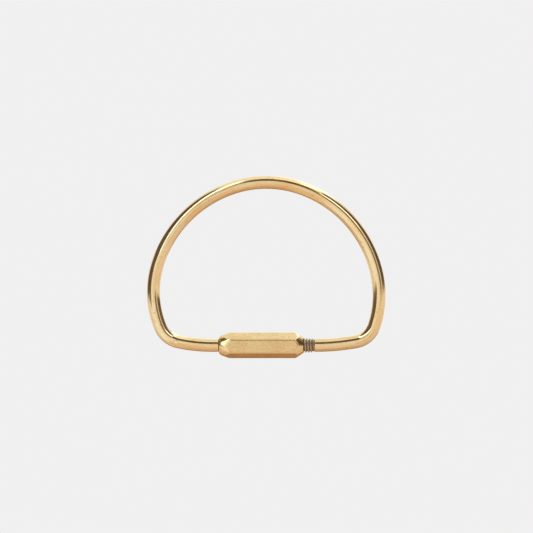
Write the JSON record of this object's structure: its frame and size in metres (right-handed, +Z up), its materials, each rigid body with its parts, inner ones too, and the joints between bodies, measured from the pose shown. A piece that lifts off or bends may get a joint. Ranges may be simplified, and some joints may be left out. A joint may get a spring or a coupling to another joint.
{
  "type": "screw-lock key ring",
  "caption": "D-shaped ring of round brass wire for keys, closed by a hexagonal screw barrel with conical ends that unscrews along the wire's thread to open it.",
  "frame": {"origin": "on the plane that the ring lies on, under the middle of its outline", "axes": "+X along the barrel's axis towards the threaded leg, +Y from the barrel towards the crown, +Z up from the surface it lies on"},
  "size_m": [0.0566, 0.0433, 0.0055],
  "materials": {
    "polished_brass": "polished, with fine draw lines and light handling scuffs",
    "satin_brass": "satin, tumbled, with slightly softened edges",
    "dull_brass": "dull, cut thread darkened in the grooves"
  },
  "bodies": {
    "bow": {"wire_bow": "polished_brass"},
    "thread_carrier": {"barrel_thread": "dull_brass"},
    "barrel": {"hex_barrel": "satin_brass"}
  },
  "joints": [
    {"name": "barrel_travel", "type": "slide", "parent": "bow", "child": "thread_carrier", "axis": [1, 0, 0], "range_m": [0, 0.00268]},
    {"name": "barrel_turn", "type": "hinge", "parent": "thread_carrier", "child": "barrel", "pos_m": [-0.00119, -0.01856, 0.00275], "axis": [1, 0, 0], "range_deg": [0, 1440]}
  ],
  "couplings": [
    {"joint": "barrel_turn", "follows": "barrel_travel", "rad_per_m": 9377.8}
  ]
}
